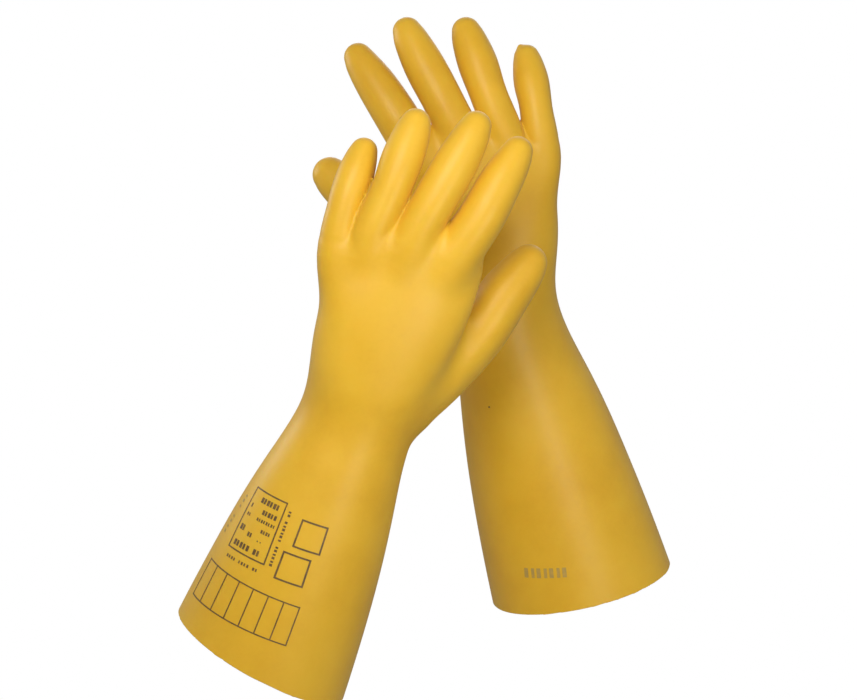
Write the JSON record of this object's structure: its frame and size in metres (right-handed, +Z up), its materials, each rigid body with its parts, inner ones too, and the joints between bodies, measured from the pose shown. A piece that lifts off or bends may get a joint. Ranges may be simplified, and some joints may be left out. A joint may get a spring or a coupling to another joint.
{
  "type": "electrical insulating gloves",
  "caption": "Pair of thick dipped rubber insulating gauntlet gloves with curved fingers and long flared cuffs, held upright as if worn.",
  "frame": {"origin": "centre of the right glove's cuff opening, on the plane of the cuff edge", "axes": "+Z up along the gloves towards the fingertips, +X towards the right glove's little-finger side, +Y from the backs of the hands towards the palms"},
  "size_m": [0.3179, 0.239, 0.4029],
  "materials": {
    "yellow_rubber": "smooth satin dipped natural rubber with a faint mottle",
    "print_ink": "dark brown-black printed marks, flush with the rubber",
    "faint_ink": "worn pale green-grey printed marks, flush with the rubber"
  },
  "bodies": {
    "right_gauntlet": {"right_gauntlet": "yellow_rubber"},
    "right_hand": {"right_hand": "yellow_rubber"},
    "right_index_base": {"right_index_base": "yellow_rubber"},
    "right_index_tip": {"right_index_tip": "yellow_rubber"},
    "right_middle_base": {"right_middle_base": "yellow_rubber"},
    "right_middle_tip": {"right_middle_tip": "yellow_rubber"},
    "right_ring_base": {"right_ring_base": "yellow_rubber"},
    "right_ring_tip": {"right_ring_tip": "yellow_rubber"},
    "right_little_base": {"right_little_base": "yellow_rubber"},
    "right_little_tip": {"right_little_tip": "yellow_rubber"},
    "right_thumb_base": {"right_thumb_base": "yellow_rubber"},
    "right_thumb_tip": {"right_thumb_tip": "yellow_rubber"},
    "left_gauntlet": {"left_gauntlet": "yellow_rubber"},
    "left_hand": {"left_hand": "yellow_rubber"},
    "left_index_base": {"left_index_base": "yellow_rubber"},
    "left_index_tip": {"left_index_tip": "yellow_rubber"},
    "left_middle_base": {"left_middle_base": "yellow_rubber"},
    "left_middle_tip": {"left_middle_tip": "yellow_rubber"},
    "left_ring_base": {"left_ring_base": "yellow_rubber"},
    "left_ring_tip": {"left_ring_tip": "yellow_rubber"},
    "left_little_base": {"left_little_base": "yellow_rubber"},
    "left_little_tip": {"left_little_tip": "yellow_rubber"},
    "left_thumb_base": {"left_thumb_base": "yellow_rubber"},
    "left_thumb_tip": {"left_thumb_tip": "yellow_rubber"}
  },
  "joints": [
    {"name": "right_wrist", "type": "hinge", "parent": "right_gauntlet", "child": "right_hand", "pos_m": [-0.05289, 0.0067, 0.18445], "axis": [-0.9613, 0, -0.2756], "range_deg": [-20, 20], "stiffness_Nm_per_rad": 2},
    {"name": "right_index_root", "type": "hinge", "parent": "right_hand", "child": "right_index_base", "pos_m": [-0.12039, 0.01116, 0.31172], "axis": [-0.8283, -0.0054, -0.5602], "range_deg": [-10, 50], "stiffness_Nm_per_rad": 0.3},
    {"name": "right_index_middle", "type": "hinge", "parent": "right_index_base", "child": "right_index_tip", "pos_m": [-0.13331, 0.01904, 0.33076], "axis": [-0.8144, -0.0058, -0.5803], "range_deg": [-10, 55], "stiffness_Nm_per_rad": 0.15},
    {"name": "right_middle_root", "type": "hinge", "parent": "right_hand", "child": "right_middle_base", "pos_m": [-0.09025, 0.01067, 0.32089], "axis": [-0.8723, -0.004, -0.489], "range_deg": [-10, 50], "stiffness_Nm_per_rad": 0.3},
    {"name": "right_middle_middle", "type": "hinge", "parent": "right_middle_base", "child": "right_middle_tip", "pos_m": [-0.10277, 0.01911, 0.34316], "axis": [-0.8786, -0.0038, -0.4776], "range_deg": [-10, 55], "stiffness_Nm_per_rad": 0.15},
    {"name": "right_ring_root", "type": "hinge", "parent": "right_hand", "child": "right_ring_base", "pos_m": [-0.06247, 0.01463, 0.3267], "axis": [-0.9379, -0.0013, -0.3469], "range_deg": [-10, 50], "stiffness_Nm_per_rad": 0.3},
    {"name": "right_ring_middle", "type": "hinge", "parent": "right_ring_base", "child": "right_ring_tip", "pos_m": [-0.06939, 0.02198, 0.34539], "axis": [-0.9321, -0.0016, -0.3622], "range_deg": [-10, 55], "stiffness_Nm_per_rad": 0.15},
    {"name": "right_little_root", "type": "hinge", "parent": "right_hand", "child": "right_little_base", "pos_m": [-0.03202, 0.01882, 0.31663], "axis": [-0.9831, 0.0017, -0.1833], "range_deg": [-10, 50], "stiffness_Nm_per_rad": 0.3},
    {"name": "right_little_middle", "type": "hinge", "parent": "right_little_base", "child": "right_little_tip", "pos_m": [-0.03483, 0.02609, 0.33182], "axis": [-0.9808, 0.0014, -0.1949], "range_deg": [-10, 50], "stiffness_Nm_per_rad": 0.15},
    {"name": "right_thumb_root", "type": "hinge", "parent": "right_hand", "child": "right_thumb_base", "pos_m": [-0.12637, 0.03166, 0.23212], "axis": [-0.3975, 0.6331, -0.6641], "range_deg": [-15, 15], "stiffness_Nm_per_rad": 0.3},
    {"name": "right_thumb_middle", "type": "hinge", "parent": "right_thumb_base", "child": "right_thumb_tip", "pos_m": [-0.14501, 0.03824, 0.24954], "axis": [-0.3492, 0.5973, -0.722], "range_deg": [-10, 45], "stiffness_Nm_per_rad": 0.15},
    {"name": "left_wrist", "type": "hinge", "parent": "left_gauntlet", "child": "left_hand", "pos_m": [-0.14289, -0.1183, 0.15845], "axis": [-0.9454, -0.0694, 0.3185], "range_deg": [-20, 20], "stiffness_Nm_per_rad": 2},
    {"name": "left_index_root", "type": "hinge", "parent": "left_hand", "child": "left_index_base", "pos_m": [-0.07004, -0.12783, 0.28221], "axis": [-0.8541, -0.0883, 0.5125], "range_deg": [-10, 50], "stiffness_Nm_per_rad": 0.3},
    {"name": "left_index_middle", "type": "hinge", "parent": "left_index_base", "child": "left_index_tip", "pos_m": [-0.05861, -0.12215, 0.30223], "axis": [-0.8404, -0.0903, 0.5343], "range_deg": [-10, 55], "stiffness_Nm_per_rad": 0.15},
    {"name": "left_middle_root", "type": "hinge", "parent": "left_hand", "child": "left_middle_base", "pos_m": [-0.09869, -0.13049, 0.29234], "axis": [-0.8457, -0.0896, 0.5261], "range_deg": [-10, 50], "stiffness_Nm_per_rad": 0.3},
    {"name": "left_middle_middle", "type": "hinge", "parent": "left_middle_base", "child": "left_middle_tip", "pos_m": [-0.08529, -0.12453, 0.31489], "axis": [-0.8526, -0.0886, 0.515], "range_deg": [-10, 55], "stiffness_Nm_per_rad": 0.15},
    {"name": "left_ring_root", "type": "hinge", "parent": "left_hand", "child": "left_ring_base", "pos_m": [-0.12434, -0.12815, 0.29928], "axis": [-0.9225, -0.0755, 0.3787], "range_deg": [-10, 27], "stiffness_Nm_per_rad": 0.3},
    {"name": "left_ring_middle", "type": "hinge", "parent": "left_ring_base", "child": "left_ring_tip", "pos_m": [-0.11688, -0.12303, 0.31848], "axis": [-0.916, -0.077, 0.3937], "range_deg": [-10, 55], "stiffness_Nm_per_rad": 0.15},
    {"name": "left_little_root", "type": "hinge", "parent": "left_hand", "child": "left_little_base", "pos_m": [-0.15161, -0.12352, 0.29001], "axis": [-0.9256, -0.0747, 0.371], "range_deg": [-10, 50], "stiffness_Nm_per_rad": 0.3},
    {"name": "left_little_middle", "type": "hinge", "parent": "left_little_base", "child": "left_little_tip", "pos_m": [-0.146, -0.118, 0.30512], "axis": [-0.9211, -0.0758, 0.382], "range_deg": [-10, 50], "stiffness_Nm_per_rad": 0.15},
    {"name": "left_thumb_root", "type": "hinge", "parent": "left_hand", "child": "left_thumb_base", "pos_m": [-0.06781, -0.09705, 0.20542], "axis": [-0.4269, -0.7669, 0.4791], "range_deg": [-15, 15], "stiffness_Nm_per_rad": 0.3},
    {"name": "left_thumb_middle", "type": "hinge", "parent": "left_thumb_base", "child": "left_thumb_tip", "pos_m": [-0.05438, -0.09252, 0.22463], "axis": [-0.373, -0.742, 0.557], "range_deg": [-10, 45], "stiffness_Nm_per_rad": 0.15},
    {"name": "left_glove_slide", "type": "slide", "parent": "right_gauntlet", "child": "left_gauntlet", "axis": [0, -1, 0], "range_m": [0, 0.15]}
  ]
}
